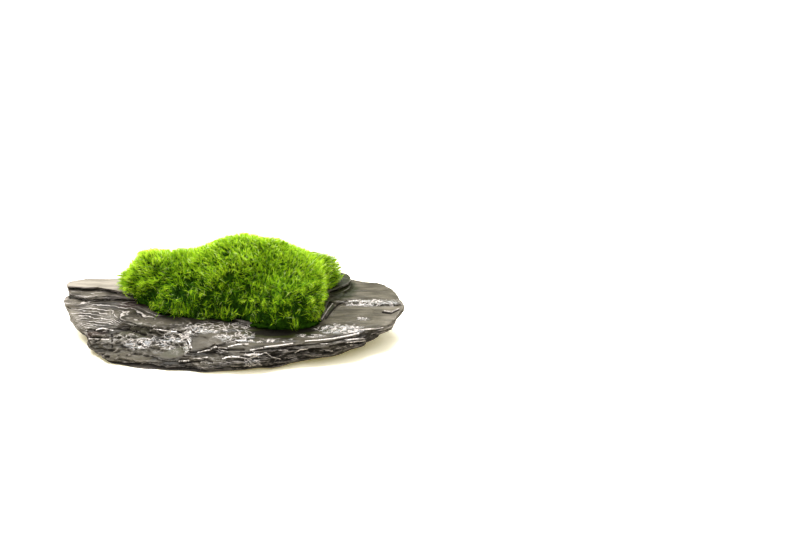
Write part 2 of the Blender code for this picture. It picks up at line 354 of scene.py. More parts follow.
# Ledges in plan: their points from left to right, how far the slab drops in front of them, and how far
# from its edge that still shows.
LEDGES = [
    ([(-43, -4.5), (-37.5, -7.4), (-33, -10.3), (-28.5, -12), (-23, -13.7), (-17, -15.4)], 0.7, 1.6),
    ([(-10.5, -27), (-5, -27), (-1, -25.4), (5, -22.6)], 0.8, 1.5),
    ([(-52.5, -12.4), (-49, -13.3), (-45, -13)], 0.9, 1.6),
    ([(-54, -7.8), (-50, -8.6), (-46, -8.2)], -0.6, 1.5),
    ([(-20, -27.6), (-14, -28.2), (-8, -30.4)], 0.6, 1.4),
    ([(33, -22.6), (40, -20.8), (45.5, -19), (48.6, -17)], 0.5, 1.2),
    ([(36.5, -7), (38.5, 1.5), (42.5, 5.2)], -0.25, 1.2),
    ([(56, 0.6), (60.5, -1.4), (63.5, 1.0)], 0.4, 1.0),
]

# Bright edges and dark gaps of the leaves, each drawn by a few points on the slab's skin.
# Painted highlights, with the skin raised a little along them.
GLINT_LINES = [
    [(14.5, -29.6, 8.7), (20.1, -28.2, 8.8), (24.6, -26.9, 9.0)],
    [(29.1, -24.8, 9.0), (34.5, -23.6, 9.0), (39.1, -23.1, 9.3), (44.0, -21.0, 9.5), (48.7, -18.6, 9.6)],
    [(49.1, -16.1, 9.9), (51.7, -15.5, 10.0), (54.7, -14.1, 9.6), (57.5, -12.2, 9.4)],
    [(0.1, -31.3, 5.3), (4.7, -32.3, 5.9), (8.9, -32.7, 5.3), (11.6, -32.2, 6.6), (15.2, -31.5, 7.3)],
    [(15.2, -31.5, 7.3), (17.0, -31.6, 5.6), (20.1, -29.9, 4.2)],
    [(7.1, -32.2, 6.6), (11.1, -31.7, 6.8)],
    [(9.4, -33.8, 4.5), (10.3, -31.8, 2.5), (11.9, -33.2, 3.7), (13.5, -32.8, 3.0)],
    [(9.2, -29.9, 7.6), (13.8, -30.4, 8.6)],
    [(43.9, -22.4, 8.5), (47.4, -21.1, 8.4), (50.6, -18.8, 7.6)],
    [(44.1, -23.1, 7.8), (47.7, -21.4, 7.5), (51.0, -18.2, 6.6)],
    [(45.5, -22.2, 6.5), (48.2, -20.4, 5.9)],
    [(25.4, -27.4, 5.6), (27.3, -27.7, 7.0), (30.0, -27.0, 6.9)],
    [(36.4, -25.8, 5.9), (39.1, -25.2, 5.4)],
    [(19.7, -29.9, 7.6), (22.8, -28.5, 7.1)],
    [(-28.6, -12.0, 8.8), (-24.2, -13.8, 8.8), (-19.3, -15.3, 8.9)],
    [(-52.7, -12.0, 4.8), (-49.2, -13.4, 5.1), (-44.9, -13.7, 5.2)],
    [(-50.4, -7.6, 6.6), (-48.3, -6.4, 6.8), (-44.2, -8.4, 6.6)],
    [(-17.1, -29.4, 2.9), (-13.4, -29.4, 3.1)],
    [(-12.1, -28.6, 3.6), (-9.3, -29.6, 4.2), (-6.4, -30.1, 4.8)],
    [(-10.4, -26.9, 5.4), (-5.8, -26.3, 6.2), (-4.0, -25.9, 7.2), (0.4, -28.5, 7.7)],
    [(-0.8, -32.0, 5.0), (2.4, -31.4, 5.8), (5.7, -32.3, 5.9)],
    [(0.0, -25.4, 8.5), (3.6, -24.2, 8.9), (7.3, -24.1, 9.2)],
    [(1.0, -27.8, 8.0), (4.5, -26.7, 8.5), (8.3, -27.1, 8.8)],
    [(-16.0, -16.4, 8.3), (-14.6, -19.6, 7.2), (-12.8, -24.5, 6.2)],
    [(38.2, 6.0, 11.9), (36.4, 0.7, 11.4), (34.5, -7.0, 10.7)],
    [(58.0, -0.2, 11.3), (60.8, -1.1, 11.2), (63.6, 2.0, 11.5)],
]
# Painted shade, with the skin sunk a little along it.
SHADED_GAP_LINES = [
    [(-42.6, -4.5, 9.4), (-37.6, -7.2, 9.6), (-33.5, -10.1, 9.2), (-28.8, -11.9, 9.1), (-19.6, -14.3, 9.0)],
    [(-19.6, -14.3, 9.0), (-16.4, -16.2, 8.4), (-15.0, -19.6, 7.0), (-13.4, -24.7, 5.9)],
    [(25.9, -27.3, 8.3), (30.9, -25.9, 8.2), (36.4, -25.0, 8.6), (41.1, -23.4, 8.9), (46.2, -20.7, 9.0)],
    [(11.0, -30.3, 7.8), (15.1, -30.8, 8.5), (20.1, -29.4, 8.5), (25.1, -27.6, 8.4)],
    [(-4.3, -27.0, 5.8), (-1.2, -28.1, 7.0), (2.5, -29.0, 7.4), (6.9, -29.1, 7.5)],
    [(0.6, -32.9, 4.9), (5.0, -33.1, 5.2), (8.7, -33.9, 4.8)],
    [(-16.6, -30.4, 2.5), (-12.9, -29.9, 2.9), (-6.9, -31.0, 4.2), (-4.6, -32.4, 3.9)],
    [(5.6, -30.8, 7.2), (10.0, -31.1, 7.3), (14.4, -31.8, 7.1)],
    [(-54.3, -7.7, 6.0), (-51.3, -7.5, 6.5), (-48.2, -8.5, 6.5)],
    [(-52.3, -11.3, 5.1), (-48.4, -12.4, 5.5), (-45.3, -12.8, 5.5)],
    [(-44.4, -10.9, 6.2), (-43.5, -14.1, 5.1), (-43.1, -18.5, 4.1)],
    [(-13.3, -26.1, 5.3), (-9.6, -26.1, 5.7), (-6.5, -26.4, 7.0), (-4.4, -25.1, 7.8)],
    [(38.2, -25.4, 7.4), (43.7, -23.2, 7.5), (49.2, -20.5, 7.0)],
    [(36.4, -25.7, 5.1), (41.9, -24.6, 5.6), (46.2, -21.9, 5.5)],
    [(43.5, 9.0, 12.1), (39.9, 5.0, 11.8), (37.8, 0.0, 11.3), (36.0, -6.5, 10.8)],
    [(57.5, -1.0, 11.2), (60.5, -1.9, 11.1), (63.4, 1.2, 11.4)],
]
EDGE_SPREAD = 0.35
EDGE_REACH = 3.0  # how far from the drawn edges, along OUTWARD, they still mark the slab
OUTWARD = np.array([0.0, -0.94, 0.342])  # out of the slab's broken front, across which edges are drawn

# The slate's colours.
DARK_SLATE = (0.009, 0.0075, 0.005, 1)
GREY_SLATE = (0.042, 0.036, 0.025, 1)
LIGHT_STREAK = (0.1, 0.088, 0.068, 1)
CALM_SLATE = (0.055, 0.048, 0.036, 1)
# near black, painted as shade on the steep front
FRONT_SHADE = (0.005, 0.004, 0.0025, 1)
# the right top's painted reflection of the room, in two tones along its streaks
TOP_REFLECTION_DARK = (0.03, 0.026, 0.016, 1)
TOP_REFLECTION_LIGHT = (0.068, 0.06, 0.041, 1)
OLIVE_FILM = (0.04, 0.038, 0.024, 1)
# dark green, painted as the marimo's shade on the slab
MOSS_SHADE_GREEN = (0.011, 0.014, 0.002, 1)
RUST_BROWN = (0.028, 0.018, 0.014, 1)
WORN_CAP = (0.19, 0.168, 0.134, 1)
# near black, painted as shade in gaps and creases and under things
SHADE_BLACK = (0.005, 0.004, 0.003, 1)
# pale, painted as glints
PAINTED_GLINT = (0.34, 0.305, 0.275, 1)


def drawn_edges(points, lines):
    """1 on the lines, seen along OUTWARD, and falling to about 0 within a millimetre."""
    mask = np.zeros(len(points))
    for line in lines:
        line = np.array(line, float)
        around = np.ptp(line[:, 0]) + 2 * EDGE_REACH
        near = np.flatnonzero(np.linalg.norm(points - line.mean(axis=0), axis=1) < around)
        for start, end in zip(line, line[1:]):
            way = end - start
            flat_way = way - OUTWARD * (way @ OUTWARD)
            offset = points[near] - start
            across = offset - np.outer(offset @ OUTWARD, OUTWARD)
            share = np.clip(across @ flat_way / (flat_way @ flat_way), 0, 1)
            gap = np.linalg.norm(across - np.outer(share, flat_way), axis=1)
            depth = np.linalg.norm(offset - np.outer(share, way), axis=1)
            value = np.exp(-((gap / EDGE_SPREAD) ** 2)) * smooth_step(EDGE_REACH, EDGE_REACH * 0.6, depth)
            mask[near] = np.maximum(mask[near], value)
    return mask


def patch_mask(points, patches):
    """1 inside the patches and 0 outside, with soft ragged edges."""
    ragged = 0.25 * waves(points, (3.0, 2.2, 3.0), 5.5)
    mask = np.zeros(len(points))
    for middle, half in patches:
        reach = np.linalg.norm((points[:, :2] - middle) / half, axis=1)
        mask = np.maximum(mask, smooth_step(1.15, 0.8, reach + ragged))
    return mask


def beside_line(points, line):
    """Distance to a line in plan, positive behind it, and the share of the way along it."""
    line = np.array(line, float)
    best = np.full(len(points), 1e9)
    side = np.ones(len(points))
    along = np.zeros(len(points))
    spans = len(line) - 1
    for n, (start, end) in enumerate(zip(line, line[1:])):
        way = end - start
        offset = points[:, :2] - start
        share = np.clip(offset @ way / (way @ way), 0, 1)
        distance = np.linalg.norm(offset - share[:, None] * way, axis=1)
        nearer = distance < best
        turn = way[0] * offset[:, 1] - way[1] * offset[:, 0]
        best = np.where(nearer, distance, best)
        side = np.where(nearer, np.sign(turn), side)
        along = np.where(nearer, (n + share) / spans, along)
    return best * side, along


def ledge_relief(points):
    """How far up or down the surface moves beside the ledges."""
    ragged = points.copy()
    ragged[:, 1] += 0.35 * waves(points, (2.6, 9.0, 9.0), 2.0)
    total = np.zeros(len(points))
    for line, drop, reach in LEDGES:
        distance, along = beside_line(ragged, line)
        ends = smooth_step(0, 0.15, along) * smooth_step(1, 0.85, along)
        step = 2 * smooth_step(-0.25, 0.25, distance) - 1
        total += drop / 2 * step * np.exp(-np.abs(distance) / reach) * ends
    return total


def terraced(points, out, height, warp, lip, strength):
    """The points drawn up or down to steps of one height, whose edges wander with the warp.

    Each riser takes up the share STEP_RISER of its step, and its upper edge overhangs it by the lip.
    """
    level = level_of(points)
    place = (level + warp) / height
    step = np.floor(place)
    on_riser = (place - step - 0.5) / STEP_RISER
    level_there = (step + smooth_step(-0.5, 0.5, on_riser)) * height - warp
    moved = points.copy()
    moved[:, 2] += (level_there - level) * strength * rise_at(points[:, 1])
    over = smooth_step(0, 0.4, on_riser) * smooth_step(1.6, 0.6, on_riser)
    under = smooth_step(0, -0.4, on_riser) * smooth_step(-1.6, -0.6, on_riser)
    return moved + out * ((over - under) * lip * strength)[:, None]


def leaf_push(points, level, height):
    """How far each leaf's edge stands out or back where the slab's side is steep."""
    leaf = np.floor(level / height)
    change = smooth_step(0.78, 1.0, level / height - leaf)
    pushes = []
    for index in (leaf, leaf + 1):
        place = np.stack([points[:, 0], points[:, 1], index * 37.0], axis=1)
        pushes.append(0.7 * waves(place, (9, 9, 10), 0.3) + 0.3 * waves(place, (3, 3, 10), 6.0))
    return pushes[0] * (1 - change) + pushes[1] * change


def slate_skin():
    """The slab's skin: even fine faces where it shows, and coarse ones under it and under the marimo."""
    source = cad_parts["slate"].data.copy()

    def even_faces(holder):
        step = holder.modifiers.new("even", "REMESH")
        step.mode = "VOXEL"
        step.voxel_size = SKIN_SPACING * MM

    mesh = modified_mesh(source, even_faces)
    points = vertex_array(mesh)
    hidden = hidden_share(points, normals_of(points, triangle_array(mesh)))

    def coarse_where_hidden(holder):
        group = holder.vertex_groups.new(name="hidden")
        for share in np.unique(hidden):
            group.add(np.flatnonzero(hidden == share).tolist(), float(share), "REPLACE")
        step = holder.modifiers.new("coarse", "DECIMATE")
        step.ratio = SKIN_TRIANGLES / len(mesh.loop_triangles)
        step.vertex_group = "hidden"

    return modified_mesh(mesh, coarse_where_hidden)


def hidden_share(points, normals):
    """How little the skin shows: fully on the foot and in the marimo's seat, and partly at the back."""
    share = np.where((points[:, 1] > 18) & (points[:, 2] < 13), 0.05, 0.0)
    share[normals[:, 2] < -0.3] = 0.1
    share[(footprint_reach(points) < 0.75) & (points[:, 2] > 9)] = 1.0
    share[points[:, 2] < FOOT_HEIGHT] = 1.0
    return share


def footprint_reach(points):
    """0 at the middle of the marimo's footprint and 1 about its edge."""
    return np.linalg.norm((points[:, :2] - np.array(FOOTPRINT_MIDDLE)) / np.array(FOOTPRINT_HALF), axis=1)


def slate_zones(points, edges, triangles):
    """The skin with its broken left side rounded off, and how far each point belongs to which part."""
    zone = SimpleNamespace(lifted=points[:, 2] > FOOT_HEIGHT, level=level_of(points))
    zone.side = smooth_step(TOP_LEVEL - 0.1, TOP_LEVEL - 0.7, zone.level) * zone.lifted
    zone.left = smooth_step(2, -14, points[:, 0])
    rounding = softened(points, edges, 0.5, ROUNDING_TIMES) - points
    zone.rounded = points + rounding * (zone.side * zone.left)[:, None]

    zone.normal = normals_of(softened(zone.rounded, edges, 0.5, 16), triangles)
    zone.out = unit(zone.normal * np.array([1.0, 1.0, 0.0]))
    zone.flat = smooth_step(0.3, 0.7, zone.normal[:, 2]) * zone.lifted
    zone.steep = smooth_step(0.85, 0.5, np.abs(zone.normal[:, 2])) * zone.lifted
    zone.calm = patch_mask(points, CALM_PATCHES)
    zone.wild = 1 - 0.85 * zone.calm
    zone.rough = patch_mask(points, ROUGH_PATCHES) * zone.side
    zone.beads = patch_mask(points, BEADED_PATCHES) * (points[:, 2] > 2)
    zone.banded = patch_mask(points, BANDED_PATCHES) * (1 - zone.rough)
    zone.broad = waves(points, (15.0, 6.0, 60.0), 7.0)
    return zone


def with_lumps(points, zone):
    """The rounded skin with lumps, crumpled ridges and grains, most of all on its broken sides."""
    broken = zone.side * (0.35 + 0.65 * zone.left) * (1 - 0.8 * zone.banded)
    lumps = waves(points, (8.0, 5.0, 3.0), 1.0) * (0.1 + 0.5 * broken + 0.5 * zone.rough)
    lumps -= np.abs(waves(points, (4.2, 2.8, 2.0), 2.0)) * (0.4 * broken + 0.9 * zone.rough)
    lumps += waves(points, (1.7, 1.3, 1.0), 3.0) * (0.05 * broken + 0.12 * zone.beads + 0.2 * zone.rough)
    shaped = zone.rounded + zone.normal * (lumps * zone.wild * zone.lifted)[:, None]
    shaped[:, 2] += ledge_relief(points) * zone.flat
    return shaped


def with_steps(shaped, points, zone):
    """The skin with the steps of broken layers on its slopes and thin flakes on its flat top."""
    mid = waves(points, (5.0, 2.4, 60.0), 8.0)
    ragged = waves(points, (1.7, 1.1, 60.0), 9.0)
    flakes = 0.3 * waves(points, (17.0, 3.2, 60.0), 12.0) + 0.06 * waves(points, (4.0, 1.2, 60.0), 13.0)
    sloping = zone.flat * zone.side * zone.wild * (1 - zone.banded) * (0.4 + 0.6 * zone.left)
    steps = [
        (HIGH_STEP, 1.0 * zone.broad + 0.45 * mid + 0.16 * ragged, 0.15, sloping * 0.45),
        (LOW_STEP, 0.45 * zone.broad + 0.6 * mid + 0.16 * ragged, 0.12, sloping * (0.7 - 0.5 * zone.rough)),
        (FLAKE_STEP, flakes, 0.0, zone.flat * (1 - zone.side) * zone.wild * 0.7),
    ]
    for height, warp, lip, strength in steps:
        shaped = terraced(shaped, zone.out, height, warp, lip, strength)
    return shaped


def with_leaf_edges(shaped, points, zone):
    """The skin with the edges of thick and thin leaves standing out or back where it is steep."""
    level = level_of(shaped) + 0.25 * zone.broad
    push = 0.9 * leaf_push(points, level, THICK_LEAF) + 0.5 * leaf_push(points + 50, level, THIN_LEAF)
    shaped = shaped + zone.out * (push * zone.steep * zone.wild)[:, None]
    shaped[:, 2] = np.where(zone.lifted, np.maximum(shaped[:, 2], LEAST_HEIGHT), points[:, 2])
    return shaped


def slate_masks(points, zone, bend):
    """The masks by which the slate's material places its colours and lines, from 0 to 1, among them painted
    shade, painted highlights and a painted reflection.
    """
    x, y, z = points.T
    level = zone.level
    faces_up = smooth_step(0.45, 0.85, zone.normal[:, 2])
    left_end = smooth_step(-36, -44, x)
    cap = smooth_step(CAP_LEVEL, CAP_LEVEL + 0.4, level)
    cap += 0.15 * smooth_step(LOWER_CAP_LEVEL, LOWER_CAP_LEVEL + 0.4, level)
    cap_front = smooth_step(LOWER_CAP_LEVEL, LOWER_CAP_LEVEL + 0.6, level) * left_end * (1 - faces_up)
    cap_side = smooth_step(-34, -42, x) * smooth_step(CAP_LEVEL + 0.5, CAP_LEVEL - 0.1, level)
    rim = smooth_step(55, 60, x) * smooth_step(11.4, 10.9, level) * smooth_step(5.5, 8.0, level)
    tip = smooth_step(-56, -62, x) * smooth_step(13.0, 12.4, z)
    # the middle of the bottom edge, painted near black as the shadow it stands in
    under_edge_shadow = smooth_step(3.0, 1.6, z) * smooth_step(-27, -20, x) * smooth_step(12, 5, x)
    # concave bends, painted dark as the shade in creases
    bends_in = smooth_step(-0.02, -0.15, bend)
    # the flat right top, painted lighter as the reflection of the bright room, fading out towards the front
    right_top = smooth_step(TOP_LEVEL - 1.0, TOP_LEVEL - 0.4, level) * smooth_step(10, 25, x)
    reflection_fades_in_front = 0.08 + 0.92 * smooth_step(-18, -10, y)
    # steep faces of the front, painted near black as shade, less so towards the right end
    front = smooth_step(0.8, 0.45, zone.normal[:, 2]) * smooth_step(-16, -8, x)
    less_shade_at_right = 1 - 0.45 * smooth_step(26, 34, x)
    left_half = smooth_step(8, -8, x) * smooth_step(3.6, 5.2, level)
    leaf_edges = smooth_step(0.9, 0.7, zone.normal[:, 2])
    return {
        "beads": zone.beads,
        "pale": np.clip(cap * left_end * faces_up + 0.3 * rim + 0.5 * tip, 0, 1),
        "rust": np.maximum(patch_mask(points, RUST_PATCHES), 0.8 * cap_front),
        "olive": patch_mask(points, OLIVE_PATCHES),
        # convex bends, painted lighter as highlights
        "edge": smooth_step(0.05, 0.2, bend),
        # painted shade: creases, the bottom edge and the shadow under the marimo's lobe
        "painted_shade": np.maximum.reduce([bends_in, under_edge_shadow, patch_mask(points, LOBE_SHADOW_PATCHES)]),
        "calm": zone.calm,
        "banded": zone.banded * np.maximum(zone.side, cap_side),
        # painted shade of the marimo on the slab
        "shady": patch_mask(points, MOSS_SHADE_PATCHES),
        # painted reflection on the flat right top
        "top": right_top * reflection_fades_in_front * zone.flat,
        # painted shade on the steep front
        "front": zone.side * front * less_shade_at_right,
        "rugged": zone.side * zone.wild * (1 - 0.7 * zone.banded) * left_half,
        "leaved": zone.side * leaf_edges * zone.wild * (1 - 0.7 * zone.rough) * (1 - zone.banded),
    }


def slate_relief(points, edges, triangles):
    """The skin's points with the slab's lumps, steps, leaves and drawn edges, and its material's masks."""
    zone = slate_zones(points, edges, triangles)
    shaped = with_lumps(points, zone)
    shaped = with_steps(shaped, points, zone)
    shaped = with_leaf_edges(shaped, points, zone)
    # lines painted as glints and as shade, which also raise and sink the skin
    drawn, gaps = drawn_edges(shaped, GLINT_LINES), drawn_edges(shaped, SHADED_GAP_LINES)
    shaped += zone.normal * ((0.2 * drawn - 0.35 * gaps * (1 - drawn)) * zone.lifted)[:, None]
    bend = np.sum((shaped - softened(shaped, edges, 0.5, 7)) * normals_of(shaped, triangles), axis=1)
    return shaped, {**slate_masks(points, zone, bend), "drawn": drawn, "gaps": gaps}


def slate_patterns(nodes, speckle):
    """The noises, leaves and masks that the slate's colour, shine and bump share."""
    leaves = laminae_group(speckle)
    pattern = SimpleNamespace(
        mottle=place_group(nodes, speckle, Spacing=5.0, Along_X=1.6, Seed=1.0),
        streak=place_group(nodes, speckle, Spacing=0.8, Along_X=12.0, Along_Y=2.4, Detail=4.0, Seed=2.0),
        grit=place_group(nodes, speckle, Spacing=0.6, Detail=2.0, Seed=3.0),
        crumple=place_group(nodes, speckle, Spacing=1.7, Along_X=1.8, Along_Y=1.6, Detail=2.0, Seed=4.0),
        parted=place_group(nodes, speckle, Spacing=1.6, Along_X=3.0, Detail=1.0, Seed=8.0),
        wide=place_group(nodes, leaves, Thickness=0.6, Wander=2.0),
        fine=place_group(nodes, leaves, Thickness=0.34, Wander=1.6, Seed=5.0),
        leaved=nodes.mask("leaved"),
        banded=nodes.mask("banded"),
    )
    from_middle = nodes.math("ABSOLUTE", nodes.math("SUBTRACT", pattern.crumple, 0.5))
    pattern.crest = nodes.between(from_middle, 0.012, 0.04, 1.0, 0.0)
    return pattern


def slate_ground(nodes, pattern):
    """The slate's colours, each laid over the ones before it where its mask is: its own mottle, streaks,
    calm, olive and rust patches and worn cap, painted shade on its steep front and beside the marimo, and a
    painted reflection on its flat right top.
    """
    colour = nodes.mix(nodes.between(pattern.mottle, 0.38, 0.62), DARK_SLATE, GREY_SLATE)
    streaks = nodes.product(nodes.between(pattern.streak, 0.45, 0.7), 0.4)
    colour = nodes.mix(streaks, colour, LIGHT_STREAK)
    top_reflection = nodes.mix(nodes.between(pattern.streak, 0.38, 0.62), TOP_REFLECTION_DARK, TOP_REFLECTION_LIGHT)
    layers = [
        ("calm", 0.7, CALM_SLATE),
        # painted shade on the steep front
        ("front", 0.93, FRONT_SHADE),
        # painted reflection on the right top
        ("top", 0.9, top_reflection),
        ("olive", 0.8, OLIVE_FILM),
        # painted shade of the marimo
        ("shady", 0.85, MOSS_SHADE_GREEN),
        ("rust", 0.8, RUST_BROWN),
    ]
    for mask, share, layer in layers:
        colour = nodes.mix(nodes.product(nodes.mask(mask), share), colour, layer)
    worn = nodes.product(nodes.mask("pale"), nodes.between(pattern.streak, 0.3, 0.6, 0.5, 1.0))
    return nodes.mix(worn, colour, WORN_CAP)


def slate_shade(nodes, pattern):
    """Painted shade: 1 in the dark lines between leaves and bands, in concave creases, under the middle of
    the bottom edge, under the marimo's right lobe and along the drawn dark lines, where the material paints
    the slate near black.
    """
    between_leaves = nodes.product(pattern.leaved, pattern.wide["Gap"])
    between_bands = nodes.product(pattern.banded, pattern.fine["Gap"])
    drawn = nodes.between(nodes.mask("gaps"), 0.3, 0.7)
    return nodes.largest(between_leaves, between_bands, nodes.mask("painted_shade"), drawn)


def slate_glints(nodes, pattern):
    """Painted highlights: the light lines of wet edges, of open leaves and bands, of crumpled and rugged
    patches, of convex bends, and the drawn ones, all painted pale as glints.
    """
    open_leaves = nodes.product(
        pattern.leaved,
        pattern.wide["Edge"],
        nodes.between(pattern.parted, 0.48, 0.6),
        nodes.between(pattern.mottle, 0.38, 0.52, 0.15, 1.0),
    )
    edges = nodes.largest(open_leaves, nodes.product(pattern.banded, pattern.fine["Edge"]))
    rugged = nodes.product(nodes.mask("rugged"), nodes.between(pattern.mottle, 0.5, 0.66))
    glitter = nodes.largest(nodes.mask("beads"), rugged)
    broken = nodes.between(pattern.grit, 0.3, 0.55, 0.3, 1.0)
    drawn = nodes.product(nodes.between(nodes.mask("drawn"), 0.62, 0.92), broken)
    crests = nodes.product(glitter, pattern.crest, 0.85)
    lines = nodes.largest(nodes.product(edges, 0.9), crests, nodes.product(nodes.mask("edge"), 0.25), drawn)
    return SimpleNamespace(edges=edges, glitter=glitter, drawn=drawn, lines=lines)


def slate_bump(nodes, pattern, glitter):
    """The relief that is too fine for the skin: grit, streaks, leaves and crumpled patches."""
    leaves = nodes.product(pattern.wide["Height"], pattern.leaved, 0.4)
    bands = nodes.product(pattern.fine["Height"], pattern.banded, 0.25)
    crumpled = nodes.total(nodes.product(pattern.crest, 0.16), nodes.product(pattern.crumple, 0.9))
    height = nodes.total(
        nodes.product(pattern.grit, 0.08),
        nodes.product(pattern.streak, 0.2),
        leaves,
        bands,
        nodes.product(glitter, crumpled),
    )
    return nodes.add("ShaderNodeBump", {"Height": height, "Strength": 1.0, "Distance": MM}).outputs[0]


def make_slate_material(speckle):
    material, nodes, shader = new_material(
        "wet_slate_finish", Metallic=0.0, IOR=1.4, Specular_IOR_Level=0.05, Coat_Roughness=0.1
    )
    pattern = slate_patterns(nodes, speckle)
    gaps = slate_shade(nodes, pattern)
    glints = slate_glints(nodes, pattern)
    # the painted shade laid over the slate's colours
    colour = nodes.mix(nodes.product(gaps, 0.9), slate_ground(nodes, pattern), SHADE_BLACK)
    # painted glints over the colours
    nodes.set_input(shader.inputs["Base Color"], nodes.mix(glints.lines, colour, PAINTED_GLINT))

    dull = nodes.between(pattern.mottle, 0.3, 0.7, 0.3, 0.42)
    dull = nodes.total(dull, nodes.product(nodes.mask("calm"), 0.1), nodes.product(gaps, 0.4))
    nodes.set_input(shader.inputs["Roughness"], dull)
    wet = nodes.total(
        0.02,
        nodes.product(glints.glitter, 0.6),
        nodes.product(glints.edges, 0.4),
        nodes.product(glints.drawn, 0.6),
    )
    wet = nodes.product(wet, nodes.math("SUBTRACT", 1.0, gaps))
    nodes.set_input(shader.inputs["Coat Weight"], wet)
    normal = slate_bump(nodes, pattern, glints.glitter)
    for socket in ("Normal", "Coat Normal"):
        nodes.set_input(shader.inputs[socket], normal)
    return material


def make_slate(speckle):
    mesh = slate_skin()
    points = vertex_array(mesh)
    shaped, masks = slate_relief(points, edge_array(mesh), triangle_array(mesh))
    set_vertices(mesh, shaped)
    mesh.shade_smooth()
    mesh.set_sharp_from_angle(angle=math.radians(SHARP_DEGREES))
    for name, values in masks.items():
        stored = mesh.attributes.new(name, "FLOAT", "POINT")
        stored.data.foreach_set("value", values.astype(np.float32))
    add_piece("slate_slab", mesh, make_slate_material(speckle), "slate")


# The marimo.

# Hollows between the tufts, sunk and painted darker as shade, and light tufts, each with its middle and its
# radius.
HOLLOWS = [
    ((-19.2, -3.7, 20.0), 2.3),
    ((-0.4, -5.5, 27.1), 1.5),
    ((-1.8, 0.5, 34.5), 1.1),
    ((1.1, -9.1, 16.8), 1.6),
    ((25.5, -15.6, 19.8), 1.7),
    ((-31.0, 2.2, 16.5), 2.6),
    ((12.8, -15.9, 14.7), 1.5),
    ((-8.0, -7.2, 18.5), 1.5),
    ((-15.1, -1.7, 23.2), 1.4),
    ((6.1, -8.0, 22.8), 1.3),
    ((20.5, -17.6, 12.6), 2.0),
    ((28.5, -15.5, 13.5), 1.9),
    ((14.5, -16.5, 11.8), 1.9),
    ((26.5, -16.5, 16.5), 1.5),
    ((3.4, -9.3, 15.0), 1.4),
    ((-11.1, -7.3, 13.7), 1.3),
    ((-24.0, -3.0, 15.5), 1.3),
]
LIGHT_TUFTS = [
    ((6.9, -9.9, 19.9), 1.8),
    ((12.8, -14.6, 18.2), 1.5),
    ((-5.7, -3.4, 28.3), 1.7),
    ((16.5, -17.8, 14.0), 1.3),
    ((24.0, -18.0, 11.5), 1.7),
    ((1.0, -9.6, 13.5), 1.5),
    ((-26.0, -1.5, 19.0), 1.7),
]
HANGING_TUFT = (24.8, 1.3)  # the middle along X and half width of the one that lies down on the slab

# The marimo's colours. The fibres' are given along their tints, from 0 to 1.
FIBRE_COLOURS = [
    (0.0, (0.006, 0.028, 0.001, 1)),
    (0.45, (0.14, 0.34, 0.005, 1)),
    (0.85, (0.44, 0.66, 0.015, 1)),
    # the palest stop, painted on a few fibres as highlights
    (1.0, (0.75, 0.85, 0.40, 1)),
]
# painted shade deep among the fibres, at their roots
FIBRE_ROOT_SHADE = (0.007, 0.032, 0.001, 1)
# painted shade deep in the ball
CORE_SHADE_DARK = (0.004, 0.014, 0.001, 1)
CORE_SHADE_LIGHT = (0.015, 0.045, 0.002, 1)


def near_places(points, places):
    """1 at the places and falling to 0 beyond their radii."""
    mask = np.zeros(len(points))
    for middle, radius in places:
        distance = np.linalg.norm(points - middle, axis=1)
        mask = np.maximum(mask, smooth_step(1.8 * radius, 0.8 * radius, distance))
    return mask


def merged_points(mesh):
    """The mesh's points with those at one place made one, and its triangles."""
    points = vertex_array(mesh)
    _, first, index = np.unique(np.round(points, 3), axis=0, return_index=True, return_inverse=True)
    triangles = index.ravel()[triangle_array(mesh)]
    whole = (triangles[:, 0] != triangles[:, 1]) & (triangles[:, 1] != triangles[:, 2])
    whole &= triangles[:, 0] != triangles[:, 2]
    return points[first], triangles[whole]


def scattered(points, normals, triangles, count, rng):
    """Random places on the triangles, evenly by area, and their normals."""
    a, b, c = (points[triangles[:, i]] for i in range(3))
    area = np.linalg.norm(np.cross(b - a, c - a), axis=1)
    chosen = rng.choice(len(triangles), count, p=area / area.sum())
    first, second = rng.random((2, count))
    fold = first + second > 1
    first, second = np.where(fold, 1 - first, first), np.where(fold, 1 - second, second)
    shares = np.stack([1 - first - second, first, second], axis=1)
    corners = triangles[chosen]
    places = sum(points[corners[:, i]] * shares[:, i:i + 1] for i in range(3))
    facing = unit(sum(normals[corners[:, i]] * shares[:, i:i + 1] for i in range(3)))
    return places, facing


def thinned(places, spacing):
    """Indices of places that stand at least the spacing apart."""
    tree = kdtree.KDTree(len(places))
    for index, place in enumerate(places.tolist()):
        tree.insert(place, index)
    tree.balance()
    kept, dropped = [], np.zeros(len(places), bool)
    for index, place in enumerate(places.tolist()):
        if not dropped[index]:
            kept.append(index)
            for _, near, _ in tree.find_range(place, spacing):
                dropped[near] = True
    return np.array(kept)


def nearest(places, centres):
    """For each place the index of the nearest centre and its distance."""
    tree = kdtree.KDTree(len(centres))
    for index, centre in enumerate(centres.tolist()):
        tree.insert(centre, index)
    tree.balance()
    found = [tree.find(place)[1:] for place in places.tolist()]
    return np.array([f[0] for f in found]), np.array([f[1] for f in found])


def held_down(heights):
    """Heights over the solid's top drawn down, so that none is more than MOSS_OVER above it."""
    over = np.maximum(heights - MOSS_TOP, 0)
    return heights - over + MOSS_OVER * (1 - np.exp(-over / MOSS_OVER))


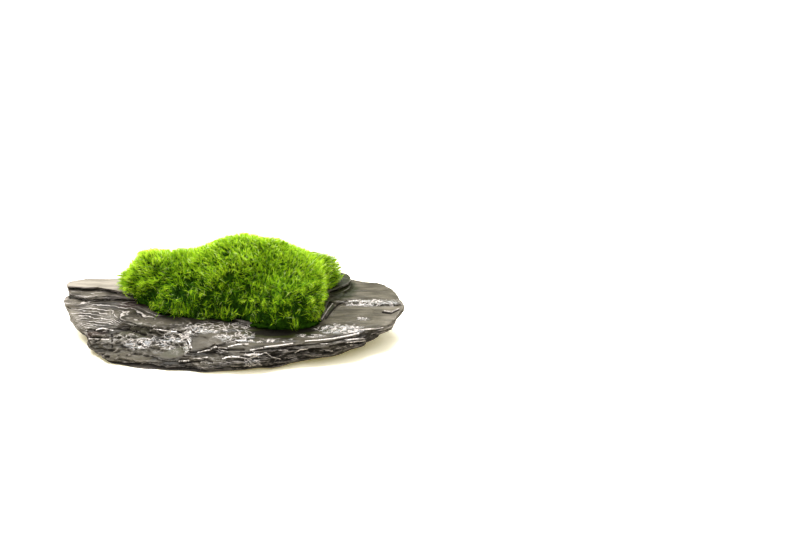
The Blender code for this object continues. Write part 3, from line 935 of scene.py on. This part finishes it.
def fibre_mesh(name, roots, tips, bends, widths, tints):
    """Slim three-sided fibres that bend, each with a ring at its root, one on its way and a tip."""
    count = len(roots)
    way = unit(tips - roots)
    side = unit(np.cross(way, np.array([0.31, 0.52, 0.8])))
    other = np.cross(way, side)
    each = 2 * FIBRE_SIDES + 1
    points = np.empty((count, each, 3))
    for corner in range(FIBRE_SIDES):
        angle = 2 * math.pi * corner / FIBRE_SIDES
        out = (side * math.cos(angle) + other * math.sin(angle)) * widths[:, None] / 2
        points[:, corner] = roots + out
        middle = roots * (1 - RING_PLACE) + tips * RING_PLACE + bends
        points[:, FIBRE_SIDES + corner] = middle + out * 0.85
    points[:, -1] = tips
    points[..., 2] = held_down(points[..., 2])
    quads = [(0, 1, 4, 3), (1, 2, 5, 4), (2, 0, 3, 5)]
    ends = [(0, 2, 1), (3, 4, 6), (4, 5, 6), (5, 3, 6)]
    start = np.arange(count)[:, None, None] * each
    quads = (start + np.array(quads)).reshape(-1, 4)
    ends = (start + np.array(ends)).reshape(-1, 3)
    mesh = mesh_of(name, points.reshape(-1, 3), [quads, ends])

    along = np.tile([0.0] * FIBRE_SIDES + [RING_PLACE] * FIBRE_SIDES + [1.0], count)
    across = np.repeat(tints, each)
    corners = np.empty(len(mesh.loops), np.int32)
    mesh.loops.foreach_get("vertex_index", corners)
    layout = np.stack([across[corners], along[corners]], axis=1).astype(np.float32)
    for layer in ("OFBake", "FibreMap"):
        mesh.uv_layers.new(name=layer).data.foreach_set("uv", layout.ravel())
    return mesh


def scattered_clumps(points, triangles, rng):
    """Where the clumps of fibres stand, and each one's tuft and distance from the tuft's middle."""
    normals = normals_of(points, triangles)
    resting = (normals[:, 2] < -0.8) & (level_of(points) < SEAT_LEVEL)
    shown = ~resting[triangles].any(axis=1)
    places, facing = scattered(points, normals, triangles[shown], SCATTERED_PLACES, rng)
    chosen = thinned(places, CLUMP_SPACING)
    fewer = places[::4]
    tufts = fewer[thinned(fewer, TUFT_SPACING * 0.8)]
    clumps = SimpleNamespace(place=places[chosen], normal=facing[chosen], tufts=tufts)
    clumps.owner, clumps.distance = nearest(clumps.place, tufts)
    return clumps


def add_zones(clumps):
    """Gives the clumps how far each belongs to which part of the marimo."""
    x, y, z = clumps.place.T
    middle, half = HANGING_TUFT
    clumps.front = smooth_step(2, -7, y) * smooth_step(27, 15, z)
    clumps.left = smooth_step(-24, -36, x)
    clumps.right = smooth_step(27, 36, x)
    clumps.fringe = smooth_step(16.5, 12.5, z)
    clumps.lobe = smooth_step(8, 13, x) * smooth_step(34, 30, x)
    clumps.above = smooth_step(0.1, 0.6, clumps.normal[:, 2])
    clumps.hanging = np.exp(-(((x - middle) / half) ** 2)) * clumps.fringe**3 * clumps.front
    clumps.hollow = near_places(clumps.place, HOLLOWS)
    clumps.light = near_places(clumps.place, LIGHT_TUFTS)
    clumps.edge = smooth_step(0.3, 0.95, clumps.distance / (TUFT_SPACING * 0.6))
    loose = 0.3 + 0.6 * clumps.front + 0.3 * clumps.left - 0.22 * smooth_step(22, 30, z)
    clumps.loose = np.clip(loose, 0, 1)


def clump_ways(clumps, rng):
    """The way each clump points: outwards, splayed from its tuft's middle, and down in front."""
    splay = (clumps.place - clumps.tufts[clumps.owner]) / TUFT_SPACING
    way = clumps.normal + splay * clumps.loose[:, None] + wave_vectors(clumps.place, 8.0, 3.0) * 0.5
    way += rng.normal(0, 1, way.shape) * (0.34 + 0.28 * clumps.front)[:, None]
    way[:, 2] += 0.12 - 0.45 * clumps.front - 0.35 * clumps.fringe
    way[:, 0] += 0.5 * (clumps.right - clumps.left)
    return unit(way)


def clump_depths(clumps, rng):
    """How far each clump's tips lie under the solid's surface, or above it where less than 0."""
    x, _, z = clumps.place.T
    left_end, above = smooth_step(-36, -42, x), clumps.above
    high_right = clumps.right * smooth_step(13, 20, z)
    sunk = clumps.edge * (0.3 + 2.3 * clumps.loose) * (1 - clumps.fringe)
    sunk -= 0.9 * clumps.fringe * (1 - 1.4 * clumps.lobe)
    sunk -= 2.3 * (clumps.left + high_right) * (1 - 0.6 * clumps.fringe)
    sunk -= 1.8 * above * smooth_step(-42, -31, x) + 1.2 * (1 - above) * left_end
    sunk += 1.2 * above * smooth_step(-36, -41, x)
    sunk -= 0.9 * smooth_step(14, 22, x) * smooth_step(14, 20, z)
    sunk += np.abs(rng.normal(0, 0.8, len(z)))
    return sunk + 3.2 * clumps.hollow - 0.5 * clumps.light


def clump_tones(clumps, rng):
    """How light each clump is, before its fibres' own differences: painted lighter towards the top and at
    both sides as light, and darker at loose tuft edges, in hollows and low under the right lobe as shade.
    """
    x, _, z = clumps.place.T
    tone = 0.38 + 0.13 * waves(clumps.place, (9, 9, 9), 2.0)
    tone += 0.13 * waves(clumps.place, (3.5, 3.5, 3.5), 4.0)
    tone += rng.normal(0, 1, len(z)) * (0.2 + 0.24 * clumps.front) + 0.12 * clumps.front
    # painted light: lighter towards the top and at both sides
    tone += 0.28 * smooth_step(20, 33, z) + 0.26 * smooth_step(22, 36, x) + 0.42 * clumps.left
    tone += 0.25 * clumps.light + 0.3 * clumps.hanging
    # painted shade: darker at loose tuft edges and in the hollows
    tone -= 0.5 * clumps.edge * clumps.loose + 0.9 * clumps.hollow
    # painted shade low under the right lobe
    return tone - 0.5 * smooth_step(13.0, 11.4, z) * clumps.lobe * (1 - clumps.hanging)


def for_each_fibre(values):
    return np.repeat(values, FIBRES_PER_CLUMP, axis=0)


def sideways(ways, amount, rng):
    """Random offsets square to the ways."""
    scatter = rng.normal(0, amount, ways.shape)
    return scatter - ways * np.sum(scatter * ways, axis=1)[:, None]


def fibre_ends(clumps, way, sunk, rng):
    """The roots and tips of all fibres. Some are longer hairs, and in front tufts droop over the slab."""
    x, _, z = clumps.place.T
    start = for_each_fibre(clumps.place - clumps.normal * sunk[:, None])
    ways = for_each_fibre(way)
    count = len(ways)
    length = FIBRE_LENGTH * for_each_fibre(1 + rng.normal(0, 0.1, len(way)))
    hairy = for_each_fibre(smooth_step(0, 12, x) * smooth_step(20, 26, z))
    long_hair = np.where(rng.random(count) < 0.04 + 0.08 * hairy, rng.uniform(0.3, 0.9, count), 0.0)
    tips = start + sideways(ways, 0.14, rng) + ways * (long_hair - 0.1)[:, None]
    roots = start + sideways(ways, 0.16, rng) - ways * length[:, None]
    tips += ways * (rng.normal(0, 0.22, count) - 0.1)[:, None]
    droop = rng.uniform(0, 1, len(clumps.tufts))[clumps.owner]
    droop = droop * clumps.fringe * clumps.front * (1 - clumps.lobe)
    tips += for_each_fibre(droop)[:, None] * np.array([0.0, -1.3, -0.7])
    tips += for_each_fibre(clumps.hanging)[:, None] * np.array([0.4, -2.4, -1.0])
    tips[:, 2] = np.maximum(tips[:, 2], (TOP_LEVEL + 0.2) * rise_at(tips[:, 1]))
    return roots, tips


def fibre_shapes(points, triangles, rng):
    """Roots, tips, bends, widths and tints of all fibres. A clump's share a tip, like wet grass."""
    clumps = scattered_clumps(points, triangles, rng)
    add_zones(clumps)
    way = clump_ways(clumps, rng)
    sunk = clump_depths(clumps, rng)
    tone = clump_tones(clumps, rng)
    roots, tips = fibre_ends(clumps, way, sunk, rng)
    count = len(roots)
    bends = for_each_fibre(rng.normal(0, 0.3, way.shape)) + rng.normal(0, 0.08, (count, 3))
    bends[:, 2] += 0.12 + 0.2 * for_each_fibre(clumps.front)
    tints = np.clip(for_each_fibre(tone) + rng.normal(0, 0.24, count), 0.01, 0.86)
    # a few fibres take the palest tint, painted as sparkling highlights
    tints = np.where(rng.random(count) < 0.022, 0.98, tints)
    widths = FIBRE_WIDTH * (1 + rng.normal(0, 0.15, count)) * for_each_fibre(1 + 0.05 * clumps.front)
    return roots, tips, bends, widths, tints


def make_fibre_material():
    material, nodes, shader = new_material(
        "marimo_fibre", Metallic=0.0, Roughness=0.6, Specular_IOR_Level=0.03
    )
    layout = nodes.add("ShaderNodeUVMap", uv_map="FibreMap").outputs[0]
    apart = nodes.add("ShaderNodeSeparateXYZ", {0: layout})
    tint, along = apart.outputs[0], apart.outputs[1]
    ramp = nodes.add("ShaderNodeValToRGB", {"Fac": tint})
    elements = ramp.color_ramp.elements
    for element, (position, colour) in zip(elements, (FIBRE_COLOURS[0], FIBRE_COLOURS[-1])):
        element.position = position
        element.color = colour
    for position, colour in FIBRE_COLOURS[1:-1]:
        elements.new(position).color = colour
    # darker towards the root: painted shade deep among the fibres
    colour = nodes.mix(nodes.between(along, 0.1, 0.75), FIBRE_ROOT_SHADE, ramp.outputs[0])
    nodes.set_input(shader.inputs["Base Color"], colour)
    return material


def make_core_material(speckle):
    material, nodes, shader = new_material(
        "marimo_core", Metallic=0.0, Roughness=0.9, Specular_IOR_Level=0.0
    )
    mottle = place_group(nodes, speckle, Spacing=1.5, Detail=3.0, Seed=6.0)
    colour = nodes.mix(nodes.between(mottle, 0.35, 0.65), CORE_SHADE_DARK, CORE_SHADE_LIGHT)
    nodes.set_input(shader.inputs["Base Color"], colour)
    bump = nodes.add("ShaderNodeBump", {"Height": nodes.product(mottle, 0.6), "Distance": MM})
    nodes.set_input(shader.inputs["Normal"], bump.outputs[0])
    return material


def make_core(points, triangles, speckle):
    """The marimo's dark felted inside, which closes it behind its fibres; it is painted near black as the
    shade deep among them.
    """
    normals = normals_of(points, triangles)
    inward = normals * CORE_DEPTH
    inward[:, 2] *= smooth_step(-0.6, -0.1, normals[:, 2]) * smooth_step(11.5, 14.0, points[:, 2])
    mesh = mesh_of("marimo_core", points - inward, [triangles])
    add_piece("marimo_core", mesh, make_core_material(speckle), "marimo")


def make_marimo(speckle):
    points, triangles = merged_points(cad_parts["marimo"].data)
    make_core(points, triangles, speckle)
    shapes = fibre_shapes(points, triangles, np.random.default_rng(RANDOM_SEED))
    material = make_fibre_material()
    left_to_right = np.argsort(shapes[0][:, 0])
    pieces = math.ceil(len(left_to_right) * FIBRE_TRIANGLES / PIECE_TRIANGLES)
    for number, chosen in enumerate(np.array_split(left_to_right, pieces), 1):
        name = f"marimo_fibres_{number}"
        mesh = fibre_mesh(name, *(values[chosen] for values in shapes))
        add_piece(name, mesh, material, "marimo")


# The studio.

# The floor's sides are in millimetres, and the places of lights and camera in metres.
FLOOR_LEFT, FLOOR_RIGHT = -3000, 3000
FLOOR_FRONT, FLOOR_BACK = -2000, 5000
LIGHTS = [
    ("softbox_over", (-0.12, 0.26, 0.62), (0, 0, 0.01), (0.8, 0.45), 18),
    ("fill_front", (0.15, -0.75, 0.6), (0.03, 0, 0), (1.0, 0.5), 1.6),
    ("spark", (0.05, 0.05, 0.62), (0, 0, 0.01), (0.08, 0.08), 1.5),
]
CAMERA_PLACE = (0.06395, -0.66825, 0.2725)
CAMERA_TILT = 70
CAMERA_LENS = 85.0
CAMERA_SENSOR = 36.0
CAMERA_RANGE = (0.01, 20.0)


def make_floor():
    front = [(FLOOR_LEFT, FLOOR_FRONT, 0), (FLOOR_RIGHT, FLOOR_FRONT, 0)]
    back = [(FLOOR_RIGHT, FLOOR_BACK, 0), (FLOOR_LEFT, FLOOR_BACK, 0)]
    mesh = mesh_of("floor", np.array(front + back, float), [np.array([[0, 1, 2, 3]])])
    material, _, _ = new_material(
        "pale_glowing_floor",
        Base_Color=(0.96, 0.92, 0.78, 1),
        Roughness=0.6,
        # a faint yellow glow that lightens and warms the floor's shadows: painted light
        Emission_Color=(1.0, 0.84, 0.3, 1),
        Emission_Strength=0.2,
    )
    mesh.materials.append(material)
    floor = bpy.data.objects.new("floor", mesh)
    bpy.context.scene.collection.objects.link(floor)


def make_room():
    """The white room around the stone, lighter overhead."""
    room = bpy.data.worlds.new("white_room")
    room.use_nodes = True
    nodes = Nodes(room.node_tree)
    way = nodes.add("ShaderNodeSeparateXYZ", {0: nodes.add("ShaderNodeTexCoord").outputs["Generated"]})
    background = room.node_tree.nodes["Background"]
    nodes.set_input(background.inputs["Color"], (1, 1, 1, 1))
    nodes.set_input(background.inputs["Strength"], nodes.between(way.outputs[2], 0.1, 0.7, 0.6, 1.5))
    bpy.context.scene.world = room


def add_light(name, place, aim, size, power):
    data = bpy.data.lights.new(name, "AREA")
    data.shape = "RECTANGLE"
    data.size, data.size_y = size
    data.energy = power
    light = bpy.data.objects.new(name, data)
    light.location = place
    light.rotation_euler = (Vector(aim) - Vector(place)).to_track_quat("-Z", "Y").to_euler()
    bpy.context.scene.collection.objects.link(light)


def make_camera():
    data = bpy.data.cameras.new("camera")
    data.lens = CAMERA_LENS
    data.sensor_width = CAMERA_SENSOR
    data.clip_start, data.clip_end = CAMERA_RANGE
    camera = bpy.data.objects.new("camera", data)
    camera.location = CAMERA_PLACE
    camera.rotation_euler = (math.radians(CAMERA_TILT), 0, 0)
    bpy.context.scene.collection.objects.link(camera)
    bpy.context.scene.camera = camera


def make_studio():
    bpy.context.scene.view_settings.view_transform = "Standard"
    make_room()
    make_floor()
    for light in LIGHTS:
        add_light(*light)
    make_camera()


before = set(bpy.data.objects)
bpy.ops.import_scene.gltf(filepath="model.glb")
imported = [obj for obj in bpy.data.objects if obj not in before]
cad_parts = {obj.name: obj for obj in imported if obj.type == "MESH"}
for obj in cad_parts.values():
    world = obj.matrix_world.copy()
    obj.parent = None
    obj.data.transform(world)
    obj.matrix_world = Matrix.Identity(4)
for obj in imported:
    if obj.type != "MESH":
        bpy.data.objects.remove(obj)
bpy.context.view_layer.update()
speckle = speckle_group()
make_slate(speckle)
make_marimo(speckle)
make_studio()
